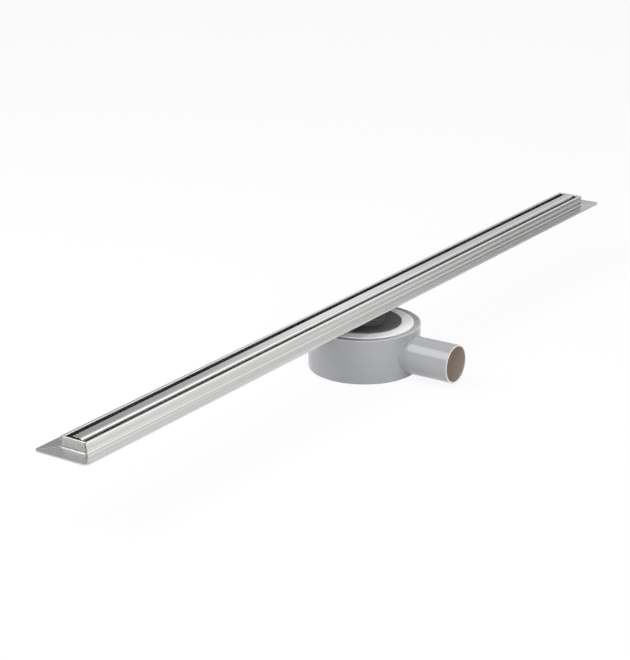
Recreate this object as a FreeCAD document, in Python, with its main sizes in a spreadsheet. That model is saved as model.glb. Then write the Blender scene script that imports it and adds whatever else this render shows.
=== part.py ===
import FreeCAD, Part
import math
import os
import re

import Sketcher

# Linear shower channel drain. Millimetres, +Z up. X runs along the channel, the outlet spigot points to -Y,
# and the origin is the centre of the flat underside of the trap, which the drain stands on.

sizes = {
    # Channel: one folded sheet with a gutter, rolled hems and a bonding flange all round
    "frame_length": 1154.0,
    "frame_width": 37.4,
    "flange_width": 75.0,
    "flange_reach": 23.0,
    "flange_corner": 7.0,
    "wall_height": 13.0,
    "steel": 1.5,
    "hem_gap": 0.8,
    "hem_flat": 0.1,
    "seam_gap": 0.8,
    "step_out": 0.8,
    "step_rise": 3.0,
    "foot_bend": 1.6,
    "gutter_depth": 11.0,
    "gutter_bend": 1.0,
    # Cover plate and the supports welded under it
    "cover_width": 14.7,
    "cover_leg": 4.0,
    "cover_proud": 0.5,
    "cover_end_gap": 1.8,
    "cover_bend": 3.0,
    "support_count": 6.0,
    "support_end": 77.0,
    "support_gauge": 2.0,
    "support_side_gap": 0.3,
    "support_shoulder": 13.0,
    "notch_width": 16.0,
    "notch_height": 8.0,
    "notch_slope": 3.0,
    # Outlet of the gutter and its strainer
    "drain_ledge": 3.9,
    "drain_margin": 1.5,
    "stub_radius": 19.5,
    "stub_drop": 19.0,
    "strainer_rim": 2.2,
    "strainer_gauge": 0.8,
    "strainer_depth": 11.0,
    "strainer_fit": 0.3,
    "strainer_hole": 4.0,
    "strainer_pitch": 5.5,
    # Trap: moulded pot with a ring lid and what closes its mouth, sized outwards from the steel stub
    "pot_draft": 1.0,
    "pot_wall": 3.4,
    "pot_round": 2.5,
    "rim_wall": 2.0,
    "lid_width": 9.0,
    "lid_thick": 4.0,
    "lid_collar": 12.0,
    "ring_width": 25.0,
    "ring_thick": 2.5,
    "ring_proud": 1.0,
    "thread_ledge": 4.0,
    "thread_depth": 8.5,
    "thread_wall": 3.0,
    "gasket_thick": 1.0,
    "disc_lap": 9.0,
    "disc_thick": 2.5,
    "hub_wall": 7.0,
    "hub_height": 5.5,
    "web_thick": 2.0,
    "snap_bead": 2.0,
    "snap_height": 3.0,
    "swivel_gap": 0.05,
    "swivel_lead": 1.5,
    "plastic_gap": 0.2,
    "edge_break": 0.6,
    # Water seal: a dip tube in a cup that stands on the floor of the pot
    "tube_space": 5.8,
    "tube_wall": 2.0,
    "tube_gap": 6.6,
    "socket_wall": 12.4,
    "socket_depth": 8.0,
    "socket_fit": 0.1,
    "cup_space": 13.2,
    "cup_wall": 2.0,
    "cup_drop": 16.0,
    "cup_ring_gap": 0.4,
    "cup_ring_height": 2.5,
    # Side spigot for the socket of a 50 mm waste pipe, with a low shoulder that stops the socket
    "spigot_radius": 25.0,
    "spigot_wall": 1.8,
    "spigot_clear": 0.2,
    "spigot_over": 5.0,
    "spigot_length": 65.0,
    "spigot_root": 1.8,
    "spigot_chamfer": 0.6,
    "stop_step": 0.5,
    "stop_run": 5.0,
}

# Places and radii that follow from the sizes above
derived = {
    "spigot_axis": "pot_round + spigot_root + stop_step + spigot_clear + spigot_radius",
    "pot_height": "spigot_axis + spigot_radius + spigot_over",
    "ring_top": "pot_height + ring_proud",
    "ring_under": "ring_top - ring_thick",
    "disc_top": "ring_top + disc_thick",
    "plate_under": "disc_top + hub_height",
    "gutter_under": "plate_under + steel",
    "gutter_floor": "gutter_under + steel",
    "flange_top": "gutter_floor + gutter_depth",
    "frame_top": "flange_top + wall_height",
    "step_low": "(wall_height - step_rise) / 2",
    "step_high": "(wall_height + step_rise) / 2",
    "step_shift": "steel * tan(atan(step_out / step_rise) / 2)",
    "wall_half": "frame_width / 2",
    "foot_half": "wall_half + step_out",
    "hem_width": "2 * steel + hem_gap",
    "hem_round": "steel - hem_flat",
    "gutter_half": "wall_half - hem_width",
    "seam_inset": "steel + seam_gap",
    "frame_end": "frame_length / 2",
    "flange_end": "frame_end + flange_reach",
    "cover_top": "frame_top + cover_proud",
    "cover_under": "cover_top - steel",
    "cover_length": "frame_length - 2 * (hem_width + cover_end_gap)",
    "support_pitch": "(frame_length - 2 * support_end) / (support_count - 1)",
    "drain_round": "gutter_half - drain_ledge",
    "drain_centre": "stub_radius - steel - drain_margin - drain_round",
    "basket_round": "drain_round - strainer_fit - strainer_gauge",
    "tube_radius": "stub_radius + tube_space + tube_wall",
    "socket_radius": "tube_radius + socket_fit",
    "skirt_radius": "socket_radius + socket_wall",
    "ring_bore": "skirt_radius + plastic_gap",
    "hub_radius": "stub_radius + hub_wall",
    "disc_radius": "ring_bore + disc_lap",
    "mouth_radius": "ring_bore + ring_width",
    "thread_radius": "mouth_radius - thread_ledge",
    "pot_radius": "mouth_radius + lid_width",
    "lid_radius": "pot_radius - rim_wall",
    "lid_under": "pot_height - lid_thick",
    "recess_floor": "ring_under - gasket_thick",
    "socket_top": "ring_under - web_thick",
    "tube_foot": "pot_wall + cup_wall + tube_gap",
    "cup_radius": "tube_radius + cup_space + cup_wall",
    "cup_rim": "pot_height - cup_drop",
    "cup_ring": "cup_radius + cup_ring_gap",
    "spigot_reach": "pot_radius + spigot_length",
    "stop_reach": "pot_radius + stop_run",
}

doc = FreeCAD.newDocument("channel_drain")
sheet = doc.addObject("Spreadsheet::Sheet", "Sizes")
names = set(sizes) | set(derived)


def bound(text):
    # Every size named in an expression is read from the sheet
    return re.sub(r"[a-z_]+", lambda word: "Sizes." + word.group() if word.group() in names else word.group(), text)


for row, (name, number) in enumerate(sizes.items(), start=1):
    sheet.set(f"A{row}", name)
    sheet.set(f"B{row}", str(number))
    sheet.setAlias(f"B{row}", name)
for row, (name, formula) in enumerate(derived.items(), start=len(sizes) + 2):
    sheet.set(f"A{row}", name)
    sheet.set(f"B{row}", "=" + formula)
    sheet.setAlias(f"B{row}", name)
doc.recompute()


def value(text):
    return float(sheet.evalExpression(bound(text)))


def new_body(label):
    body = doc.addObject("PartDesign::Body", label)
    body.Label = label
    return body


def origin_plane(body, role):
    return next(feature for feature in body.Origin.OriginFeatures if feature.Role == role)


def new_sketch(body, role, height="0"):
    # A sketch parallel to one of the body's own origin planes, at a height along the plane's normal
    sketch = body.newObject("Sketcher::SketchObject", "Sketch")
    sketch.AttachmentSupport = [(origin_plane(body, role), "")]
    sketch.MapMode = "FlatFace"
    sketch.setExpression("AttachmentOffset.Base.z", bound(height))
    return sketch


def fix(sketch, kind, *where, by):
    # A dimension whose value is an expression on the sheet
    index = sketch.addConstraint(Sketcher.Constraint(kind, *where, value(by)))
    sketch.setExpression(f"Constraints[{index}]", bound(by))


def add_outline(sketch, corners):
    # Closed outline through corners (across, up) or (across, up, radius), where a radius rounds the corner
    points = [FreeCAD.Vector(value(corner[0]), value(corner[1]), 0) for corner in corners]
    radii = [value(corner[2]) if len(corner) > 2 else 0.0 for corner in corners]
    count = len(points)
    arrive, leave, arcs = [], [], {}
    for i in range(count):
        back = (points[i - 1] - points[i]).normalize()
        onward = (points[(i + 1) % count] - points[i]).normalize()
        half = back.getAngle(onward) / 2
        arrive.append(points[i] + back * (radii[i] / math.tan(half)))
        leave.append(points[i] + onward * (radii[i] / math.tan(half)))
        if radii[i] > 0:
            centre = points[i] + (back + onward).normalize() * (radii[i] / math.sin(half))
            left_turn = back.cross(onward).z < 0
            first, last = (arrive[i], leave[i]) if left_turn else (leave[i], arrive[i])
            start = math.atan2(first.y - centre.y, first.x - centre.x)
            end = math.atan2(last.y - centre.y, last.x - centre.x)
            circle = Part.Circle(centre, FreeCAD.Vector(0, 0, 1), radii[i])
            arcs[i] = (Part.ArcOfCircle(circle, start, end), left_turn)
    lines = [sketch.addGeometry(Part.LineSegment(leave[i], arrive[(i + 1) % count])) for i in range(count)]
    for i in range(count):
        before, after = lines[i - 1], lines[i]
        if i in arcs:
            arc = sketch.addGeometry(arcs[i][0])
            first, last = (1, 2) if arcs[i][1] else (2, 1)
            tip = sketch.addGeometry(Part.Point(points[i]), True)
            sketch.addConstraint([
                Sketcher.Constraint("Tangent", before, 2, arc, first),
                Sketcher.Constraint("Tangent", arc, last, after, 1),
                Sketcher.Constraint("PointOnObject", tip, 1, before),
                Sketcher.Constraint("PointOnObject", tip, 1, after),
            ])
            fix(sketch, "Radius", arc, by=corners[i][2])
            held = tip
        else:
            sketch.addConstraint(Sketcher.Constraint("Coincident", before, 2, after, 1))
            held = after
        fix(sketch, "DistanceX", -1, 1, held, 1, by=corners[i][0])
        fix(sketch, "DistanceY", -1, 1, held, 1, by=corners[i][1])


def add_obround(sketch, centre, radius):
    # Long round-ended hole along the sketch's first axis, centred on the origin
    far, near = value(centre), value(radius)
    up = FreeCAD.Vector(0, 0, 1)
    right = sketch.addGeometry(Part.ArcOfCircle(Part.Circle(FreeCAD.Vector(far, 0, 0), up, near),
                                                -math.pi / 2, math.pi / 2))
    left = sketch.addGeometry(Part.ArcOfCircle(Part.Circle(FreeCAD.Vector(-far, 0, 0), up, near),
                                               math.pi / 2, 3 * math.pi / 2))
    top = sketch.addGeometry(Part.LineSegment(FreeCAD.Vector(far, near, 0), FreeCAD.Vector(-far, near, 0)))
    low = sketch.addGeometry(Part.LineSegment(FreeCAD.Vector(-far, -near, 0), FreeCAD.Vector(far, -near, 0)))
    sketch.addConstraint([
        Sketcher.Constraint("Tangent", right, 2, top, 1),
        Sketcher.Constraint("Tangent", top, 2, left, 1),
        Sketcher.Constraint("Tangent", left, 2, low, 1),
        Sketcher.Constraint("Tangent", low, 2, right, 1),
        Sketcher.Constraint("PointOnObject", right, 3, -1),
        Sketcher.Constraint("PointOnObject", left, 3, -1),
        Sketcher.Constraint("Equal", right, left),
    ])
    fix(sketch, "Radius", right, by=radius)
    fix(sketch, "DistanceX", -1, 1, right, 3, by=centre)
    fix(sketch, "DistanceX", -1, 1, left, 3, by=f"-({centre})")


def add_circle(sketch, radius, across="0", up="0"):
    middle = FreeCAD.Vector(value(across), value(up), 0)
    circle = sketch.addGeometry(Part.Circle(middle, FreeCAD.Vector(0, 0, 1), value(radius)))
    fix(sketch, "Radius", circle, by=radius)
    fix(sketch, "DistanceX", -1, 1, circle, 3, by=across)
    fix(sketch, "DistanceY", -1, 1, circle, 3, by=up)


def pad(body, sketch, length, symmetric=False):
    feature = body.newObject("PartDesign::Pad", "Pad")
    feature.Profile = sketch
    feature.SideType = "Symmetric" if symmetric else "One side"
    feature.setExpression("Length", bound(length))
    doc.recompute()
    return feature


def cut(body, sketch, kind, **settings):
    # A pocket or groove, which has to take something away
    before = body.Shape.Volume
    feature = body.newObject("PartDesign::" + kind, kind)
    feature.Profile = sketch
    for setting, choice in settings.items():
        if setting == "Length":
            feature.setExpression("Length", bound(choice))
        else:
            setattr(feature, setting, choice)
    doc.recompute()
    if body.Shape.Volume > before - 1e-3:
        raise RuntimeError(f"{body.Label}: {feature.Name} cuts nothing")
    return feature


def turned(label, corners):
    # A piece turned about Z from one closed outline (radius, height)
    body = new_body(label)
    sketch = new_sketch(body, "XZ_Plane")
    add_outline(sketch, corners)
    feature = body.newObject("PartDesign::Revolution", "Revolution")
    feature.Profile = sketch
    feature.ReferenceAxis = (sketch, ["V_Axis"])
    feature.Angle = 360
    doc.recompute()
    return body


def dress(body, kind, size, setting, wanted):
    # A fillet or chamfer on every edge of the body that passes the test
    edges = [f"Edge{i}" for i, edge in enumerate(body.Shape.Edges, start=1) if wanted(edge)]
    if not edges:
        raise RuntimeError(f"{body.Label}: no edge for its {kind}")
    carrier = body.Tip
    feature = body.newObject("PartDesign::" + kind, kind)
    feature.Base = (carrier, edges)
    feature.setExpression(setting, bound(size))
    doc.recompute()


def mirrored(corners):
    # The other half of a symmetric outline, in reverse order
    return [(f"-({corner[0]})", *corner[1:]) for corner in reversed(corners)]


def keep_inside(body, role, corners, height, length, symmetric=False):
    # Cut away all that lies outside an outline, within a stretch along the plane's normal
    sketch = new_sketch(body, role, height)
    add_outline(sketch, corners)
    add_outline(sketch, [(f"{x} * frame_length", f"{y} * frame_length")
                         for x, y in ((1, 1), (-1, 1), (-1, -1), (1, -1))])
    if symmetric:
        cut(body, sketch, "Pocket", SideType="Symmetric", Length=length)
    else:
        cut(body, sketch, "Pocket", Reversed=True, Length=length)


def round_flange(body):
    # The outer corners of the flange, rounded through the seams between its pieces
    corners = [(f"{x} * flange_end", f"{y} * flange_width / 2", "flange_corner")
               for x, y in ((1, 1), (-1, 1), (-1, -1), (1, -1))]
    keep_inside(body, "XY_Plane", corners, "flange_top", "4 * steel", symmetric=True)


def channel_trough():
    # The long sheet: flange, stepped wall, rolled hem and gutter wall on each side of one gutter floor.
    # Its outer walls run on past the gutter to cover the edges of the end walls.
    body = new_body("channel_trough")
    upper = [
        ("gutter_half", "gutter_floor", "gutter_bend"),
        ("gutter_half", "frame_top", "hem_round"),
        ("wall_half", "frame_top", "hem_round"),
        ("wall_half", "flange_top + step_high", "foot_bend"),
        ("foot_half", "flange_top + step_low", "foot_bend"),
        ("foot_half", "flange_top", "foot_bend"),
        ("flange_width / 2", "flange_top"),
    ]
    lower = [
        ("flange_width / 2", "flange_top - steel"),
        ("foot_half - steel", "flange_top - steel", "foot_bend + steel"),
        ("foot_half - steel", "flange_top + step_low - step_shift"),
        ("wall_half - steel", "flange_top + step_high - step_shift"),
        ("wall_half - steel", "frame_top - steel"),
        ("gutter_half + steel", "frame_top - steel"),
        ("gutter_half + steel", "gutter_under", "gutter_bend + steel"),
    ]
    sketch = new_sketch(body, "YZ_Plane")
    add_outline(sketch, mirrored(upper) + upper + lower + mirrored(lower))
    pad(body, sketch, "frame_length - 2 * steel", symmetric=True)
    wall_end = [
        ("foot_half - steel", "flange_top"),
        ("foot_half - steel", "flange_top + step_low - step_shift"),
        ("wall_half - steel", "flange_top + step_high - step_shift"),
        ("wall_half - steel", "frame_top"),
        ("wall_half", "frame_top", "hem_round"),
        ("wall_half", "flange_top + step_high", "foot_bend"),
        ("foot_half", "flange_top + step_low", "foot_bend"),
        ("foot_half", "flange_top", "foot_bend"),
        ("foot_half + 2 * foot_bend", "flange_top"),
        ("foot_half + 2 * foot_bend", "flange_top - steel / 2"),
        ("foot_half", "flange_top - steel / 2"),
        ("foot_half", "flange_top"),
    ]
    for start in ("frame_end - steel", "-frame_end"):
        for corners in (wall_end, mirrored(wall_end)):
            strip = new_sketch(body, "YZ_Plane", start)
            add_outline(strip, corners)
            pad(body, strip, "steel")
    for x in (1, -1):
        for y in (1, -1):
            tip = new_sketch(body, "XY_Plane", "flange_top - steel")
            add_outline(tip, [
                (f"{x} * (frame_end - steel)", f"{y} * foot_half"),
                (f"{x} * frame_end", f"{y} * foot_half"),
                (f"{x} * flange_end", f"{y} * flange_width / 2"),
                (f"{x} * (frame_end - steel)", f"{y} * flange_width / 2"),
            ])
            pad(body, tip, "steel")
    round_flange(body)
    drain = new_sketch(body, "XY_Plane", "gutter_floor")
    add_obround(drain, "drain_centre", "drain_round")
    cut(body, drain, "Pocket", SideType="Symmetric", Length="4 * steel")
    return body


def end_piece(label, turn):
    # The same fold across one end: flange, wall, hem and an inner leaf that stands on the gutter floor.
    # Its wall stands between the ends of the long walls, with an open seam on each side.
    body = new_body(label)
    fold = new_sketch(body, "XZ_Plane")
    add_outline(fold, [
        ("frame_end - hem_width", "gutter_floor"),
        ("frame_end - hem_width", "frame_top", "hem_round"),
        ("frame_end", "frame_top", "hem_round"),
        ("frame_end", "flange_top", "foot_bend"),
        ("flange_end", "flange_top"),
        ("flange_end", "flange_top - steel"),
        ("frame_end - steel", "flange_top - steel", "foot_bend + steel"),
        ("frame_end - steel", "frame_top - steel"),
        ("frame_end - hem_width + steel", "frame_top - steel"),
        ("frame_end - hem_width + steel", "gutter_floor"),
    ])
    pad(body, fold, "flange_width", symmetric=True)
    leaf = [("gutter_half", "gutter_floor", "gutter_bend + plastic_gap"), ("gutter_half", "frame_top + steel")]
    keep_inside(body, "YZ_Plane", leaf + mirrored(leaf), "frame_end - hem_width", "hem_width - steel")
    wall = [
        ("flange_width", "flange_top - 4 * steel"),
        ("flange_width", "flange_top"),
        ("foot_half - seam_inset", "flange_top"),
        ("foot_half - seam_inset", "flange_top + step_low - step_shift"),
        ("wall_half - seam_inset", "flange_top + step_high - step_shift"),
        ("wall_half - seam_inset", "frame_top + steel"),
    ]
    keep_inside(body, "YZ_Plane", wall + mirrored(wall), "frame_end - steel", "steel + flange_reach")
    mitre = [
        ("frame_end - hem_width", "-foot_half"),
        ("frame_end", "-foot_half"),
        ("flange_end", "-flange_width / 2"),
        ("flange_end", "flange_width / 2"),
        ("frame_end", "foot_half"),
        ("frame_end - hem_width", "foot_half"),
    ]
    keep_inside(body, "XY_Plane", mitre, "flange_top", "4 * (steel + foot_bend)", symmetric=True)
    round_flange(body)
    body.Placement = FreeCAD.Placement(FreeCAD.Vector(0, 0, 0), FreeCAD.Rotation(turn, 0, 0))
    return body


def cover_plate():
    # Flat brushed strip with a short leg folded down on each side, round a wide bend
    body = new_body("cover_plate")
    half = [
        ("cover_width / 2", "cover_top", "cover_bend"),
        ("cover_width / 2", "cover_top - cover_leg"),
        ("cover_width / 2 - steel", "cover_top - cover_leg"),
        ("cover_width / 2 - steel", "cover_under", "cover_bend - steel"),
    ]
    sketch = new_sketch(body, "YZ_Plane")
    add_outline(sketch, half + mirrored(half))
    pad(body, sketch, "cover_length", symmetric=True)
    return body


def cover_support(number):
    # Upright plate across the gutter: its tongue is welded inside the cover, its foot lets the water by
    body = new_body(f"cover_support_{number + 1}")
    half = [
        ("cover_width / 2 - cover_bend", "cover_under"),
        ("cover_width / 2 - steel - support_side_gap", "cover_top - cover_bend"),
        ("cover_width / 2 - steel - support_side_gap", "gutter_floor + support_shoulder"),
        ("gutter_half - support_side_gap", "gutter_floor + support_shoulder"),
        ("gutter_half - support_side_gap", "gutter_floor + gutter_bend"),
        ("gutter_half - support_side_gap - gutter_bend", "gutter_floor"),
        ("notch_width / 2", "gutter_floor"),
        ("notch_width / 2", "gutter_floor + notch_height - notch_slope"),
        ("notch_width / 2 - notch_slope", "gutter_floor + notch_height"),
    ]
    sketch = new_sketch(body, "YZ_Plane")
    add_outline(sketch, half + mirrored(half))
    pad(body, sketch, "support_gauge", symmetric=True)
    body.setExpression("Placement.Base.x", bound(f"support_pitch * ({number} - (support_count - 1) / 2)"))
    return body


def outlet_stub():
    # Steel cap welded under the gutter, whose skirt enters the trap
    body = turned("outlet_stub", [
        ("0", "plate_under"),
        ("0", "gutter_under"),
        ("stub_radius", "gutter_under"),
        ("stub_radius", "plate_under - stub_drop"),
        ("stub_radius - steel", "plate_under - stub_drop"),
        ("stub_radius - steel", "plate_under"),
    ])
    drain = new_sketch(body, "XY_Plane", "gutter_under")
    add_obround(drain, "drain_centre", "drain_round")
    cut(body, drain, "Pocket", SideType="Symmetric", Length="4 * steel")
    return body


def hair_strainer():
    # Long perforated basket that hangs by its rim in the outlet of the gutter
    body = new_body("hair_strainer")
    rim = new_sketch(body, "XY_Plane", "gutter_floor")
    add_obround(rim, "drain_centre", "drain_round + strainer_rim")
    pad(body, rim, "strainer_gauge")
    basket = new_sketch(body, "XY_Plane", "gutter_floor - strainer_depth")
    add_obround(basket, "drain_centre", "drain_round - strainer_fit")
    pad(body, basket, "strainer_depth")
    hollow = new_sketch(body, "XY_Plane", "gutter_floor + strainer_gauge")
    add_obround(hollow, "drain_centre", "basket_round")
    cut(body, hollow, "Pocket", Length="strainer_depth")
    holes = new_sketch(body, "XY_Plane", "gutter_floor - strainer_depth")
    pitch = value("strainer_pitch")
    reach = value("basket_round - strainer_hole")
    columns = int((value("drain_centre") + reach) // pitch)
    for i in range(-columns, columns + 1):
        beyond = max(abs(i) * pitch - value("drain_centre"), 0.0)
        rows = int(math.sqrt(reach ** 2 - beyond ** 2) // pitch)
        for j in range(-rows, rows + 1):
            add_circle(holes, "strainer_hole / 2", f"{i} * strainer_pitch", f"{j} * strainer_pitch")
    cut(body, holes, "Pocket", SideType="Symmetric", Length="4 * strainer_gauge")
    return body


def trap_pot():
    # Moulded pot with a slight draft and a side spigot, whose shoulder stops the socket of the waste pipe
    body = turned("trap_pot", [
        ("0", "0"),
        ("pot_radius - pot_draft", "0", "pot_round"),
        ("pot_radius", "pot_height"),
        ("0", "pot_height"),
    ])
    for radius, reach in (("spigot_radius", "spigot_reach"), ("spigot_radius + stop_step", "stop_reach")):
        spigot = new_sketch(body, "XZ_Plane")
        add_circle(spigot, radius, up="spigot_axis")
        pad(body, spigot, reach)

    def root(edge):
        # The curve where the spigot leaves the round wall
        spots = [edge.valueAt(edge.FirstParameter + share * (edge.LastParameter - edge.FirstParameter))
                 for share in (0.1, 0.5, 0.9)]
        axis, radius = value("spigot_axis"), value("spigot_radius + stop_step")
        on_spigot = all(abs(math.hypot(spot.x, spot.z - axis) - radius) < 0.05 for spot in spots)
        return on_spigot and all(spot.y > -value("pot_radius") - 0.05 for spot in spots)

    dress(body, "Fillet", "spigot_root", "Radius", root)
    hollow = new_sketch(body, "XZ_Plane")
    add_outline(hollow, [
        ("0", "pot_wall"),
        ("cup_ring", "pot_wall"),
        ("cup_ring", "pot_wall + cup_ring_height"),
        ("cup_ring + cup_wall", "pot_wall + cup_ring_height"),
        ("cup_ring + cup_wall", "pot_wall"),
        ("pot_radius - pot_draft - pot_wall", "pot_wall"),
        ("pot_radius - pot_wall", "lid_under"),
        ("lid_radius", "lid_under"),
        ("lid_radius", "pot_height + rim_wall"),
        ("0", "pot_height + rim_wall"),
    ])
    cut(body, hollow, "Groove", ReferenceAxis=(hollow, ["V_Axis"]), Angle=360)
    bore = new_sketch(body, "XZ_Plane", "cup_ring + cup_wall")
    add_circle(bore, "spigot_radius - spigot_wall", up="spigot_axis")
    cut(body, bore, "Pocket", Reversed=True, Length="spigot_reach")
    dress(body, "Chamfer", "spigot_chamfer", "Size",
          lambda edge: abs(edge.CenterOfMass.y + value("spigot_reach")) < 0.01
          and isinstance(edge.Curve, Part.Circle)
          and abs(edge.Curve.Radius - value("spigot_radius")) < 0.01)
    return body


def trap_lid():
    # Ring lid set in the rim of the pot, with the threaded collar that takes the lock ring
    return turned("trap_lid", [
        ("thread_radius", "pot_height - lid_collar"),
        ("thread_radius", "recess_floor"),
        ("mouth_radius + plastic_gap", "recess_floor"),
        ("mouth_radius + plastic_gap", "pot_height"),
        ("lid_radius - plastic_gap", "pot_height"),
        ("lid_radius - plastic_gap", "lid_under"),
        ("mouth_radius + thread_wall", "lid_under"),
        ("mouth_radius + thread_wall", "recess_floor - thread_wall"),
        ("thread_radius + thread_wall", "recess_floor - thread_wall"),
        ("thread_radius + thread_wall", "pot_height - lid_collar"),
    ])


def lock_ring():
    # White screwed ring that closes the mouth of the trap round the rubber collar
    return turned("lock_ring", [
        ("ring_bore", "ring_under"),
        ("ring_bore", "ring_top"),
        ("mouth_radius - edge_break", "ring_top"),
        ("mouth_radius", "ring_top - edge_break"),
        ("mouth_radius", "ring_under"),
        ("thread_radius - plastic_gap", "ring_under"),
        ("thread_radius - plastic_gap", "ring_under - thread_depth"),
        ("thread_radius - plastic_gap - thread_wall", "ring_under - thread_depth"),
        ("thread_radius - plastic_gap - thread_wall", "ring_under"),
    ])


def mouth_gasket():
    # Flat gasket between the lock ring and the recess of the lid
    return turned("mouth_gasket", [
        ("thread_radius + plastic_gap", "recess_floor"),
        ("thread_radius + plastic_gap", "ring_under"),
        ("mouth_radius - plastic_gap", "ring_under"),
        ("mouth_radius - plastic_gap", "recess_floor"),
    ])


def rubber_collar():
    # Dark collar snapped into the lock ring: disc on top, hub round the steel stub, socket for the dip tube
    return turned("rubber_collar", [
        ("stub_radius + swivel_gap", "socket_top"),
        ("stub_radius + swivel_gap", "plate_under - swivel_lead"),
        ("stub_radius + swivel_lead", "plate_under"),
        ("hub_radius", "plate_under"),
        ("hub_radius", "disc_top"),
        ("disc_radius - edge_break", "disc_top"),
        ("disc_radius", "disc_top - edge_break"),
        ("disc_radius", "ring_top"),
        ("skirt_radius", "ring_top"),
        ("skirt_radius", "ring_under - plastic_gap"),
        ("skirt_radius + snap_bead", "ring_under - plastic_gap"),
        ("skirt_radius", "ring_under - plastic_gap - snap_height"),
        ("skirt_radius", "socket_top - socket_depth"),
        ("socket_radius", "socket_top - socket_depth"),
        ("socket_radius", "socket_top"),
    ])


def dip_tube():
    return turned("dip_tube", [
        ("tube_radius - tube_wall", "tube_foot"),
        ("tube_radius - tube_wall", "socket_top"),
        ("tube_radius", "socket_top"),
        ("tube_radius", "tube_foot"),
    ])


def siphon_cup():
    return turned("siphon_cup", [
        ("0", "pot_wall"),
        ("cup_radius", "pot_wall"),
        ("cup_radius", "cup_rim"),
        ("cup_radius - cup_wall", "cup_rim"),
        ("cup_radius - cup_wall", "pot_wall + cup_wall"),
        ("0", "pot_wall + cup_wall"),
    ])


pieces = [
    trap_pot(),
    trap_lid(),
    mouth_gasket(),
    lock_ring(),
    rubber_collar(),
    dip_tube(),
    siphon_cup(),
    channel_trough(),
    end_piece("end_piece_left", 180),
    end_piece("end_piece_right", 0),
    outlet_stub(),
    hair_strainer(),
    cover_plate(),
]
pieces += [cover_support(number) for number in range(int(sizes["support_count"]))]
doc.recompute()

for item in doc.Objects:
    if "Invalid" in item.State or "Error" in item.State:
        raise RuntimeError(f"{item.Label} did not build: {item.State}")
for piece in pieces:
    if piece.Shape.isNull() or not piece.Shape.isValid() or len(piece.Shape.Solids) != 1:
        raise RuntimeError(f"{piece.Label} is not one valid solid")

os.makedirs("parts", exist_ok=True)
for piece in pieces:
    piece.Shape.exportStep(f"parts/{piece.Label}.step")
    print(f"{piece.Label}: {piece.Shape.Volume / 1000:.2f} cm3")
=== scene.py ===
import math

import bmesh
import bpy
from mathutils import Matrix, Vector


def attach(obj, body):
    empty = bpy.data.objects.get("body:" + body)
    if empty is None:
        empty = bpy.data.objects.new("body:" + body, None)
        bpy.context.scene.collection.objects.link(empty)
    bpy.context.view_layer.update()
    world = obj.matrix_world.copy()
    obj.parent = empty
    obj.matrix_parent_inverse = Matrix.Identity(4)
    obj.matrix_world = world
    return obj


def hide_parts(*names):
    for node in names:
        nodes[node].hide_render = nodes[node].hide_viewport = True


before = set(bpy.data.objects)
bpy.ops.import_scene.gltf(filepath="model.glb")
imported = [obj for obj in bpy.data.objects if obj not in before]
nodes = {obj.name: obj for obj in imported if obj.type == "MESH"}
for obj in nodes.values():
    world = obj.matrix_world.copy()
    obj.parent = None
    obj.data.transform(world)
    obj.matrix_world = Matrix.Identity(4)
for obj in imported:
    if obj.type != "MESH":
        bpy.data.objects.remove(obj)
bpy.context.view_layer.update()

scene = bpy.context.scene
mm = 0.001
print("frame loaded:", len(nodes), "nodes")


# Material tools

# Noise seldom leaves this range, so the two tones of a colour lie at its ends
noiseLow, noiseHigh = 0.3, 0.7
noiseRoughness = 0.55
edgeSamples = 4
cornerSamples = 8


def newMaterial(name):
    # A Principled material with its Object coordinates at hand
    material = bpy.data.materials.new(name)
    material.use_nodes = True
    tree = material.node_tree
    shader = tree.nodes["Principled BSDF"]
    coords = tree.nodes.new("ShaderNodeTexCoord")
    return material, tree, shader, coords.outputs["Object"]


def addNode(tree, kind, inputs=None, **settings):
    # Each input is a socket to link or a value to set
    node = tree.nodes.new(kind)
    for setting, choice in settings.items():
        setattr(node, setting, choice)
    for socket, source in (inputs or {}).items():
        if isinstance(source, bpy.types.NodeSocket):
            tree.links.new(source, node.inputs[socket])
        else:
            node.inputs[socket].default_value = source
    return node


def maths(tree, operation, *values):
    return addNode(tree, "ShaderNodeMath", dict(enumerate(values)),
                   operation=operation).outputs[0]


def axes(tree, coords):
    return addNode(tree, "ShaderNodeSeparateXYZ", {"Vector": coords}).outputs


def fade(tree, factor, start, end, low=0.0, high=1.0):
    # Goes from low to high while a factor goes from start to end, and no further
    return addNode(tree, "ShaderNodeMapRange", {
        "Value": factor, "From Min": start, "From Max": end,
        "To Min": low, "To Max": high}).outputs["Result"]


def span(tree, share, low, high):
    # Goes from low to high while a share goes from 0 to 1
    return fade(tree, share, 0.0, 1.0, low, high)


def mixNumbers(tree, share, first, second):
    return addNode(tree, "ShaderNodeMix", {0: share, 2: first, 3: second}).outputs[0]


def mixColours(tree, share, first, second, blend="MIX"):
    return addNode(tree, "ShaderNodeMix", {0: share, 6: first, 7: second}, data_type="RGBA",
                   blend_type=blend).outputs[2]


def stretchedNoise(tree, coords, scale, detail):
    # Noise with its own scale along each axis
    mapping = addNode(tree, "ShaderNodeMapping", {"Vector": coords, "Scale": scale})
    return addNode(tree, "ShaderNodeTexNoise", {
        "Vector": mapping.outputs["Vector"], "Scale": 1.0, "Detail": detail,
        "Roughness": noiseRoughness}).outputs["Fac"]


def ramp(tree, factor, stops):
    node = addNode(tree, "ShaderNodeValToRGB", {"Fac": factor})
    elements = node.color_ramp.elements
    while len(elements) < len(stops):
        elements.new(0.5)
    for element, (position, colour) in zip(elements, stops):
        element.position = position
        element.color = tuple(colour) + (1.0,)
    return node.outputs["Color"]


def twoTones(tree, noise, dark, light):
    return ramp(tree, noise, [(noiseLow, dark), (noiseHigh, light)])


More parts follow.
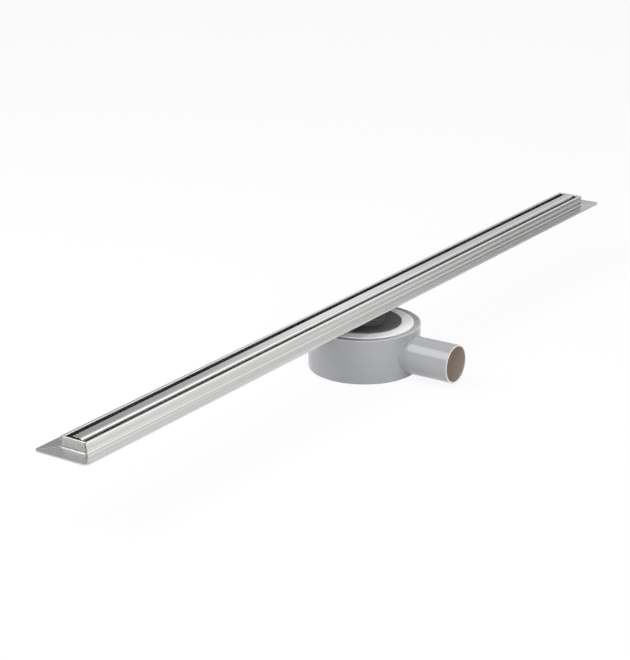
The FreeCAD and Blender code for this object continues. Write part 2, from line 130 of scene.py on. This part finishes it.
def addRelief(tree, shader, height, look):
    # Fine bumps, over normals that round the cut edges off
    softened = addNode(tree, "ShaderNodeBevel", {"Radius": look["edge"]}, samples=edgeSamples)
    bump = addNode(tree, "ShaderNodeBump", {
        "Height": height, "Strength": look["bump"], "Distance": look["bumpDepth"],
        "Normal": softened.outputs["Normal"]})
    tree.links.new(bump.outputs["Normal"], shader.inputs["Normal"])


# Brushed sheet steel: belt lines along the sheet, so that highlights spread across it

sheetLook = {
    "grainAlong": "x", "grainFine": 1900.0, "grainBroad": 260.0, "grainLong": 14.0,
    # Broad bands are drawn out further than the lines, by this share of their scale
    "bandShare": 0.35, "bandMix": 0.5, "lineDetail": 3.0, "bandDetail": 2.0,
    "tint": (1.0, 0.994, 0.986), "dark": 0.68, "light": 0.73, "roughness": (0.20, 0.27),
    "spread": 0.6, "bump": 0.05, "bumpDepth": 0.05 * mm, "edge": 1.2 * mm,
    # Painted shade darkens corners and seams: its width, its tone deep in a corner, how open
    # a place has to be to have none, and the height below which there is none
    "cornerShade": {"reach": 2.5 * mm, "tone": 0.12, "from": 0.66, "above": 84.0 * mm},
    # Between these heights the ground face turns into the flange, which isn't ground
    "dull": {"from": 84.2 * mm, "to": 83.6 * mm, "roughness": 0.20},
    # Painted shade darkens the inside of the gutter: half length, half width, and the heights
    # between which it darkens
    "inside": {"x": 573.4 * mm, "y": 15.2 * mm, "z": (94.8 * mm, 87.5 * mm), "tone": 0.45},
}
steelLook = dict(
    sheetLook,
    # Painted shade darkens the pressed step: middle height, half height, and the half width
    # that it starts from
    stepShade={"z": 89.5 * mm, "reach": 1.4 * mm, "beyond": 17.5 * mm, "tone": 0.86},
    # A painted highlight brightens the outer bends: the half widths that it fades in between,
    # and its height
    bendHighlight={"from": 16.4 * mm, "to": 17.8 * mm, "above": 94.4 * mm, "tone": 1.2},
)
coverLook = dict(
    steelLook, roughness=(0.22, 0.28), edge=0.25 * mm,
    # The folded legs aren't ground either
    dull={"from": 94.8 * mm, "to": 94.0 * mm, "roughness": 0.60},
    # A painted highlight brightens the rounded edges of the cover
    bendHighlight={"from": 5.2 * mm, "to": 6.6 * mm, "above": 94.2 * mm, "tone": 1.28},
    # Painted shade darkens the cover's legs deep in the gutter
    inside=dict(sheetLook["inside"], z=(92.6 * mm, 92.0 * mm)),
)
endLook = dict(
    sheetLook, grainAlong="y", dark=0.60, light=0.66, roughness=(0.20, 0.26), edge=0.3 * mm,
    dull=dict(sheetLook["dull"], roughness=0.29),
    # Painted shade darkens the lip and the foot bend of the end walls
    bendShade={"lip": 95.2 * mm, "foot": 84.2 * mm, "reach": 1.1 * mm, "tone": 0.80},
    # Painted shade darkens the end walls inside the gutter
    inside=dict(sheetLook["inside"], x=574.3 * mm, y=18.0 * mm, z=(96.2 * mm, 94.8 * mm)),
)


# Each mask is 1 on the faces it names and 0 elsewhere; they place painted shade and a painted
# highlight on the steel

# Painted shade inside the gutter
def gutterShadeMask(tree, coords, inside):
    parts = axes(tree, coords)
    share = fade(tree, parts["Z"], *inside["z"])
    for side in "xy":
        away = maths(tree, "ABSOLUTE", parts[side.upper()])
        within = maths(tree, "LESS_THAN", away, inside[side])
        share = maths(tree, "MULTIPLY", share, within)
    return share


# Painted shade on the pressed step
def pressedStepShade(tree, coords, stepShade):
    parts = axes(tree, coords)
    rise = maths(tree, "COMPARE", parts["Z"], stepShade["z"], stepShade["reach"])
    away = maths(tree, "ABSOLUTE", parts["Y"])
    beyond = maths(tree, "GREATER_THAN", away, stepShade["beyond"])
    return maths(tree, "MULTIPLY", rise, beyond)


# Painted highlight on the outer bends
def bendHighlightMask(tree, coords, bendHighlight):
    parts = axes(tree, coords)
    near = fade(tree, maths(tree, "ABSOLUTE", parts["Y"]), bendHighlight["from"], bendHighlight["to"])
    high = maths(tree, "GREATER_THAN", parts["Z"], bendHighlight["above"])
    return maths(tree, "MULTIPLY", near, high)


# Painted shade on the lip and the foot bend of the end walls
def endBendShadeMask(tree, coords, bendShade):
    height = axes(tree, coords)["Z"]
    lip = maths(tree, "GREATER_THAN", height, bendShade["lip"])
    foot = maths(tree, "COMPARE", height, bendShade["foot"], bendShade["reach"])
    return maths(tree, "MAXIMUM", lip, foot)


steelPaintedLight = {"inside": gutterShadeMask, "stepShade": pressedStepShade, "bendHighlight": bendHighlightMask, "bendShade": endBendShadeMask}


def brushedSteel(name, look):
    material, tree, shader, coords = newMaterial(name)
    height = axes(tree, coords)["Z"]

    along = "xyz".index(look["grainAlong"])
    fine = [look["grainFine"]] * 3
    broad = [look["grainBroad"]] * 3
    fine[along] = look["grainLong"]
    broad[along] = look["grainLong"] * look["bandShare"]
    lines = stretchedNoise(tree, coords, fine, look["lineDetail"])
    bands = stretchedNoise(tree, coords, broad, look["bandDetail"])
    grain = mixNumbers(tree, look["bandMix"], lines, bands)
    dark, light = ([look[key] * part for part in look["tint"]] for key in ("dark", "light"))
    colour = twoTones(tree, grain, dark, light)

    # Painted shade: corners and seams above the flange are darkened where the ambient occlusion
    # finds them closed in
    cornerShade = look["cornerShade"]
    openness = addNode(tree, "ShaderNodeAmbientOcclusion", {"Distance": cornerShade["reach"]},
                       samples=cornerSamples).outputs["AO"]
    cornerShaded = fade(tree, openness, 0.0, cornerShade["from"], cornerShade["tone"], 1.0)
    tone = maths(tree, "MAXIMUM", cornerShaded, maths(tree, "LESS_THAN", height, cornerShade["above"]))
    # The masks add painted shade to the gutter, the pressed step and the end bends, and a
    # painted highlight to the outer bends
    for key, mask in steelPaintedLight.items():
        if key in look:
            change = span(tree, mask(tree, coords, look[key]), 1.0, look[key]["tone"])
            tone = maths(tree, "MULTIPLY", tone, change)
    colour = mixColours(tree, 1.0, colour, tone, blend="MULTIPLY")
    tree.links.new(colour, shader.inputs["Base Color"])

    dull = look["dull"]
    roughness = mixNumbers(tree, fade(tree, height, dull["from"], dull["to"]),
                           span(tree, bands, *look["roughness"]), dull["roughness"])
    tree.links.new(roughness, shader.inputs["Roughness"])
    shader.inputs["Metallic"].default_value = 1.0
    shader.inputs["Anisotropic"].default_value = look["spread"]
    across = [1.0, 1.0, 1.0]
    across[along] = 0.0
    turned = addNode(tree, "ShaderNodeVectorTransform", {"Vector": across}, vector_type="VECTOR",
                     convert_from="OBJECT", convert_to="WORLD")
    tree.links.new(turned.outputs["Vector"], shader.inputs["Tangent"])
    addRelief(tree, shader, lines, look)
    return material


# Moulded plastics and rubber

greyLook = {
    "deep": (0.325, 0.332, 0.348), "pale": (0.350, 0.357, 0.373),
    "cloud": 18.0, "cloudDetail": 2.0, "grain": 700.0, "grainDetail": 4.0,
    "roughness": (0.06, 0.10), "specular": 0.5,
    "bump": 0.02, "bumpDepth": 0.1 * mm, "edge": 0.5 * mm,
}
whiteLook = dict(greyLook, deep=(0.88, 0.88, 0.875), pale=(0.91, 0.91, 0.905),
                 roughness=(0.25, 0.33))
lidLook = dict(greyLook, cloud=26.0)
rubberLook = dict(greyLook, deep=(0.062, 0.058, 0.056), pale=(0.070, 0.066, 0.064),
                  roughness=(0.40, 0.50), bump=0.12)
siphonLook = dict(greyLook, deep=(0.05, 0.05, 0.052), pale=(0.06, 0.06, 0.062),
                  roughness=(0.35, 0.45))
boreLook = {
    # Painted shade: the inner wall of the spigot is painted brown-grey
    "deep": (0.375, 0.315, 0.275), "pale": (0.425, 0.360, 0.315),
    "axisHeight": 30.0 * mm, "radius": 24.0 * mm, "start": -62.0 * mm,
    # Painted highlights make the rim of the pot and the cut end of the spigot paler
    "rim": (0.56, 0.56, 0.57), "rimHeight": 59.3 * mm,
    "cut": (0.66, 0.61, 0.56), "cutStart": -138.4 * mm,
}


def insideBore(tree, parts, bore):
    # 1 on the inner wall of the spigot, where the painted shade goes, 0 elsewhere
    rise = maths(tree, "SUBTRACT", parts["Z"], bore["axisHeight"])
    flat = addNode(tree, "ShaderNodeCombineXYZ", {"X": parts["X"], "Y": 0.0, "Z": rise})
    reach = addNode(tree, "ShaderNodeVectorMath", {0: flat.outputs[0]}, operation="LENGTH")
    near = maths(tree, "LESS_THAN", reach.outputs["Value"], bore["radius"])
    out = maths(tree, "LESS_THAN", parts["Y"], bore["start"])
    return maths(tree, "MULTIPLY", near, out)


def mouldedPlastic(name, look, bore=None):
    material, tree, shader, coords = newMaterial(name)
    cloud = stretchedNoise(tree, coords, (look["cloud"],) * 3, look["cloudDetail"])
    grain = stretchedNoise(tree, coords, (look["grain"],) * 3, look["grainDetail"])
    colour = twoTones(tree, cloud, look["deep"], look["pale"])
    if bore:
        # On the pot, painted shade on the inner wall of the spigot and painted highlights on the
        # rim and the cut end
        parts = axes(tree, coords)
        boreShade = twoTones(tree, cloud, bore["deep"], bore["pale"])
        # Painted highlights make the rim and the cut end paler
        onRimHighlight = maths(tree, "GREATER_THAN", parts["Z"], bore["rimHeight"])
        onCutHighlight = maths(tree, "LESS_THAN", parts["Y"], bore["cutStart"])
        colour = mixColours(tree, insideBore(tree, parts, bore), colour, boreShade)
        colour = mixColours(tree, onRimHighlight, colour, bore["rim"] + (1.0,))
        colour = mixColours(tree, onCutHighlight, colour, bore["cut"] + (1.0,))
    tree.links.new(colour, shader.inputs["Base Color"])
    tree.links.new(span(tree, grain, *look["roughness"]), shader.inputs["Roughness"])
    shader.inputs["Specular IOR Level"].default_value = look["specular"]
    addRelief(tree, shader, grain, look)
    return material


finishes = {
    "steelSheet": brushedSteel("steelSheet", steelLook),
    "coverSteel": brushedSteel("coverSteel", coverLook),
    "endSteel": brushedSteel("endSteel", endLook),
    "lidPlastic": mouldedPlastic("lidPlastic", lidLook),
    "potPlastic": mouldedPlastic("potPlastic", greyLook, boreLook),
    "whitePlastic": mouldedPlastic("whitePlastic", whiteLook),
    "darkRubber": mouldedPlastic("darkRubber", rubberLook),
    "siphonPlastic": mouldedPlastic("siphonPlastic", siphonLook),
}

# Every node that isn't named here is steelSheet
nodeFinish = {
    "cover_plate": "coverSteel",
    "end_piece_left": "endSteel", "end_piece_right": "endSteel",
    "trap_pot": "potPlastic", "trap_lid": "lidPlastic", "lock_ring": "whitePlastic",
    "rubber_collar": "darkRubber", "mouth_gasket": "darkRubber",
    "dip_tube": "siphonPlastic", "siphon_cup": "siphonPlastic",
}
for nodeName, node in nodes.items():
    node.data.materials.clear()
    node.data.materials.append(finishes[nodeFinish.get(nodeName, "steelSheet")])
print("materials on", len(nodes), "nodes")


# Turned pieces of the trap that need softer edges than the solids have

# Outlines are pairs of radius and height in millimetres
collar = {
    "steps": 160, "edge": 0.8 * mm,
    "outline": [(19.55, 56.5), (19.55, 67.5), (21.0, 69.0), (26.5, 69.0), (26.5, 63.5),
                (49.0, 63.5), (49.0, 61.0), (39.8, 61.0), (39.8, 58.3), (41.8, 58.3),
                (39.8, 55.3), (39.8, 48.5), (27.4, 48.5), (27.4, 56.5)],
}
ring = {
    "steps": 180, "edge": 0.7 * mm,
    "outline": [(40.0, 58.5), (40.0, 61.0), (65.0, 61.0), (65.0, 58.5), (60.8, 58.5),
                (60.8, 50.0), (57.8, 50.0), (57.8, 58.5)],
}
weldDistance = 1e-6
bevelSegments = 3
bevelAngle = math.radians(35)


def newObject(name, shape, material):
    # A linked object with the faces of a bmesh, which is freed
    mesh = bpy.data.meshes.new(name)
    shape.to_mesh(mesh)
    shape.free()
    mesh.materials.append(material)
    thing = bpy.data.objects.new(name, mesh)
    scene.collection.objects.link(thing)
    return thing


def newPiece(name, shape, body, finish):
    bmesh.ops.remove_doubles(shape, verts=shape.verts, dist=weldDistance)
    bmesh.ops.recalc_face_normals(shape, faces=shape.faces)
    for face in shape.faces:
        face.smooth = True
    piece = newObject(name, shape, finishes[finish])
    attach(piece, body)
    return piece


def turnedRing(look):
    # A closed outline, turned once round the axis of the trap
    shape = bmesh.new()
    corners = [shape.verts.new((radius * mm, 0.0, height * mm))
               for radius, height in look["outline"]]
    edges = [shape.edges.new((corners[i - 1], corners[i])) for i in range(len(corners))]
    bmesh.ops.spin(shape, geom=corners + edges, cent=(0, 0, 0), axis=(0, 0, 1), dvec=(0, 0, 0),
                   angle=2 * math.pi, steps=look["steps"], use_merge=True,
                   use_normal_flip=False, use_duplicate=False)
    return shape


def roundEdges(piece, width):
    bevel = piece.modifiers.new("softEdges", "BEVEL")
    bevel.width = width
    bevel.segments = bevelSegments
    bevel.limit_method = "ANGLE"
    bevel.angle_limit = bevelAngle
    bevel.harden_normals = True


collarDisc = newPiece("collarDisc", turnedRing(collar), "trap", "darkRubber")
roundEdges(collarDisc, collar["edge"])
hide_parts("rubber_collar")

lockRing = newPiece("lockRing", turnedRing(ring), "trap", "whitePlastic")
roundEdges(lockRing, ring["edge"])
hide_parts("lock_ring")
print("turned pieces ready")


# Floor and sky: white to the eye and in reflections, dimmer as light

floorLook = {"half": 30.0, "paint": 0.93, "glow": 0.90, "roughness": 0.9, "specular": 0.1}
# Brightness seen and brightness as light, and tones by height of the sky
worldLook = {"seen": 1.0, "fill": 0.66, "horizon": 1.0, "zenith": 0.62,
             "fadeFrom": 0.3, "fadeTo": 0.9}


def onlyForEyes(tree):
    # 1 for rays from the camera and in reflections and glass, 0 for the light on things
    rays = addNode(tree, "ShaderNodeLightPath").outputs
    seen = maths(tree, "MAXIMUM", rays["Is Camera Ray"], rays["Is Glossy Ray"])
    return maths(tree, "MAXIMUM", seen, rays["Is Transmission Ray"])


def makeFloor():
    material, tree, shader, _ = newMaterial("floorPaint")
    shader.inputs["Base Color"].default_value = (floorLook["paint"],) * 3 + (1.0,)
    shader.inputs["Roughness"].default_value = floorLook["roughness"]
    shader.inputs["Specular IOR Level"].default_value = floorLook["specular"]
    white = addNode(tree, "ShaderNodeEmission", {"Strength": 1.0}).outputs[0]
    share = maths(tree, "MULTIPLY", onlyForEyes(tree), floorLook["glow"])
    paint = addNode(tree, "ShaderNodeMixShader", {0: share, 1: shader.outputs[0], 2: white})
    tree.links.new(paint.outputs[0], tree.nodes["Material Output"].inputs["Surface"])
    shape = bmesh.new()
    bmesh.ops.create_grid(shape, x_segments=1, y_segments=1, size=floorLook["half"])
    floor = newObject("floor", shape, material)


def makeWorld():
    world = bpy.data.worlds.new("studio")
    scene.world = world
    world.use_nodes = True
    tree = world.node_tree
    background = tree.nodes["Background"]
    coords = addNode(tree, "ShaderNodeTexCoord").outputs["Generated"]
    tone = fade(tree, axes(tree, coords)["Z"], worldLook["fadeFrom"], worldLook["fadeTo"],
                worldLook["horizon"], worldLook["zenith"])
    strength = span(tree, onlyForEyes(tree), worldLook["fill"], worldLook["seen"])
    tree.links.new(tone, background.inputs["Color"])
    tree.links.new(strength, background.inputs["Strength"])


# Soft boxes

lamps = {
    "keyBox": {"place": (-0.75, 0.95, 1.40), "aim": (0.0, 0.0, 0.06), "size": (1.4, 1.0),
               "radiance": 3.8},
    "topBox": {"place": (-0.42, -0.28, 1.50), "aim": (0.0, 0.0, 0.05), "size": (0.45, 0.35),
               "radiance": 8.0},
    "frontBox": {"place": (-1.20, -2.10, 1.20), "aim": (0.0, -0.05, 0.04), "size": (2.0, 1.0),
                 "radiance": 4.6, "gloss": False},
}


def areaLight(name, look):
    lamp = bpy.data.lights.new(name, "AREA")
    lamp.shape = "RECTANGLE"
    lamp.size, lamp.size_y = look["size"]
    lamp.energy = look["radiance"] * math.pi * lamp.size * lamp.size_y
    light = bpy.data.objects.new(name, lamp)
    scene.collection.objects.link(light)
    light.location = look["place"]
    light.visible_camera = False
    light.visible_glossy = look.get("gloss", True)
    aim = Vector(look["aim"]) - Vector(look["place"])
    light.rotation_euler = aim.to_track_quat("-Z", "Y").to_euler()


# Cards that only reflections see: a lower corner, the two sides from it, and tones along
# the first side

cards = {
    "backCard": {"corner": (-0.9, 0.6, 0.12), "along": (3.0, 0.0, 0.0), "up": (0.0, 0.0, 0.75),
                 "tones": [(0.0, 0.3), (0.34, 0.37), (0.46, 0.5), (0.52, 0.85), (0.57, 1.15),
                           (0.62, 0.95), (0.68, 0.7), (1.0, 0.58)]},
    "sideCard": {"corner": (0.9, -1.75, 0.52), "along": (2.1, 1.0, 0.0), "up": (0.0, 0.0, 0.63),
                 "tones": [(0.0, 1.7), (0.15, 1.7), (0.31, 1.05), (0.43, 1.0), (0.52, 0.6),
                           (0.62, 0.2), (0.75, 0.05), (1.0, 0.05)]},
    "lowCard": {"corner": (1.95, -1.25, 0.0), "along": (1.05, 0.5, 0.0), "up": (0.0, 0.0, 0.28),
                "tones": [(0.0, 0.8), (0.3, 0.35), (1.0, 0.3)]},
    "skyCard": {"corner": (0.9, -1.75, 1.15), "along": (2.1, 1.0, 0.0), "up": (0.0, 0.0, 1.25),
                "tones": [(0.0, 1.4), (0.5, 1.3), (1.0, 0.9)]},
    "floorCard": {"corner": (0.15, -0.32, 0.002), "along": (1.1, 0.0, 0.0),
                  "up": (0.0, 0.26, 0.0),
                  "tones": [(0.0, 0.95), (0.3, 0.6), (0.5, 0.4), (1.0, 0.3)]},
    "leftCard": {"corner": (-2.1, 0.1, 0.05), "along": (1.4, 1.4, 0.0), "up": (0.0, 0.0, 0.83),
                 "tones": [(0.0, 0.5), (1.0, 0.5)]},
}


def reflectionCard(name, look):
    corner, along, up = (Vector(look[key]) for key in ("corner", "along", "up"))
    material, tree, _, coords = newMaterial(name)
    share = fade(tree, axes(tree, coords)["X"], corner.x, corner.x + along.x)
    tone = ramp(tree, share, [(position, (level,) * 3) for position, level in look["tones"]])
    paint = addNode(tree, "ShaderNodeEmission", {"Color": tone, "Strength": 1.0}).outputs[0]
    tree.links.new(paint, tree.nodes["Material Output"].inputs["Surface"])
    shape = bmesh.new()
    spots = (corner, corner + along, corner + along + up, corner + up)
    shape.faces.new([shape.verts.new(spot) for spot in spots])
    card = newObject(name, shape, material)
    card.visible_camera = False
    card.visible_diffuse = False
    card.visible_shadow = False


# The photograph's own view: place and angles in the shared frame, and the focal length in
# the photograph's pixels

photoView = {"place": (-2.0894, -1.3423, 0.93556), "turn": -55.807, "tilt": 19.653,
             "roll": -0.235, "focalPixels": 2022.65, "photoHeight": 660.0, "sensor": 36.0}


def makeCamera():
    turn, tilt, roll = (math.radians(photoView[key]) for key in ("turn", "tilt", "roll"))
    back = Vector((math.sin(turn) * math.cos(tilt), -math.cos(turn) * math.cos(tilt),
                   math.sin(tilt)))
    right = Vector((math.cos(turn), math.sin(turn), 0.0))
    up = back.cross(right)
    rightRolled = math.cos(roll) * right + math.sin(roll) * up
    upRolled = math.cos(roll) * up - math.sin(roll) * right
    data = bpy.data.cameras.new("photoView")
    data.sensor_width = photoView["sensor"]
    data.sensor_fit = "AUTO"
    data.lens = photoView["focalPixels"] * photoView["sensor"] / photoView["photoHeight"]
    camera = bpy.data.objects.new("photoView", data)
    scene.collection.objects.link(camera)
    matrix = Matrix((rightRolled, upRolled, back)).transposed().to_4x4()
    matrix.translation = Vector(photoView["place"])
    camera.matrix_world = matrix
    scene.camera = camera


makeFloor()
makeWorld()
for lampName, lampLook in lamps.items():
    areaLight(lampName, lampLook)
for cardName, cardLook in cards.items():
    reflectionCard(cardName, cardLook)
makeCamera()
scene.view_settings.view_transform = "Standard"
print("studio ready")
